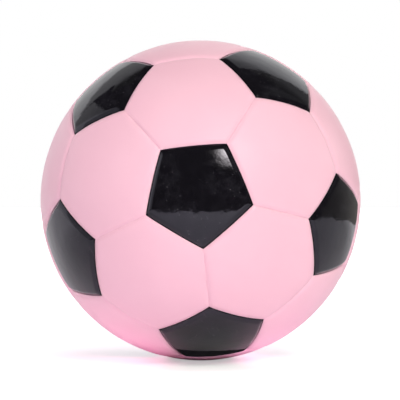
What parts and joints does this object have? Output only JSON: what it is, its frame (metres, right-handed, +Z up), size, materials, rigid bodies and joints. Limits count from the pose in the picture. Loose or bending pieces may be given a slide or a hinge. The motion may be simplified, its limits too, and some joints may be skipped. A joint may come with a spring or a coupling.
{
  "type": "mini soccer ball",
  "caption": "Small inflatable soccer ball with glossy black pentagon panels and satin pink hexagon panels bonded over a wound carcass, with a bladder and a needle valve.",
  "frame": {"origin": "centre of the ball", "axes": "+Z up from the surface the ball lies on, -Y towards the front pentagon as in the picture, +X to the picture's right"},
  "size_m": [0.1498, 0.15, 0.1498],
  "materials": {
    "pink_cover": "satin pink PVC cover panel",
    "black_cover": "glossy black PVC cover panel",
    "carcass_rubber": "dull grey moulded rubber",
    "winding_yarn": "cream yarn wound over the bladder",
    "bladder_rubber": "smooth black rubber",
    "valve_rubber": "off-white valve rubber"
  },
  "bodies": {
    "root": {"pentagon_panel_01": "black_cover", "pentagon_panel_02": "black_cover", "pentagon_panel_03": "black_cover", "pentagon_panel_04": "black_cover", "pentagon_panel_05": "black_cover", "pentagon_panel_06": "black_cover", "pentagon_panel_07": "black_cover", "pentagon_panel_08": "black_cover", "pentagon_panel_09": "black_cover", "pentagon_panel_10": "black_cover", "pentagon_panel_11": "black_cover", "pentagon_panel_12": "black_cover", "hexagon_panel_01": "pink_cover", "hexagon_panel_02": "pink_cover", "hexagon_panel_03": "pink_cover", "hexagon_panel_04": "pink_cover", "hexagon_panel_05": "pink_cover", "hexagon_panel_06": "pink_cover", "hexagon_panel_07": "pink_cover", "hexagon_panel_08": "pink_cover", "hexagon_panel_09": "pink_cover", "hexagon_panel_10": "pink_cover", "hexagon_panel_11": "pink_cover", "hexagon_panel_12": "pink_cover", "hexagon_panel_13": "pink_cover", "hexagon_panel_14": "pink_cover", "hexagon_panel_15": "pink_cover", "hexagon_panel_16": "pink_cover", "hexagon_panel_17": "pink_cover", "hexagon_panel_18": "pink_cover", "hexagon_panel_base": "pink_cover", "hexagon_panel_valve": "pink_cover", "carcass": "carcass_rubber", "yarn_winding": "winding_yarn", "bladder": "bladder_rubber", "valve_seat": "valve_rubber", "valve_plug": "valve_rubber"}
  },
  "joints": []
}
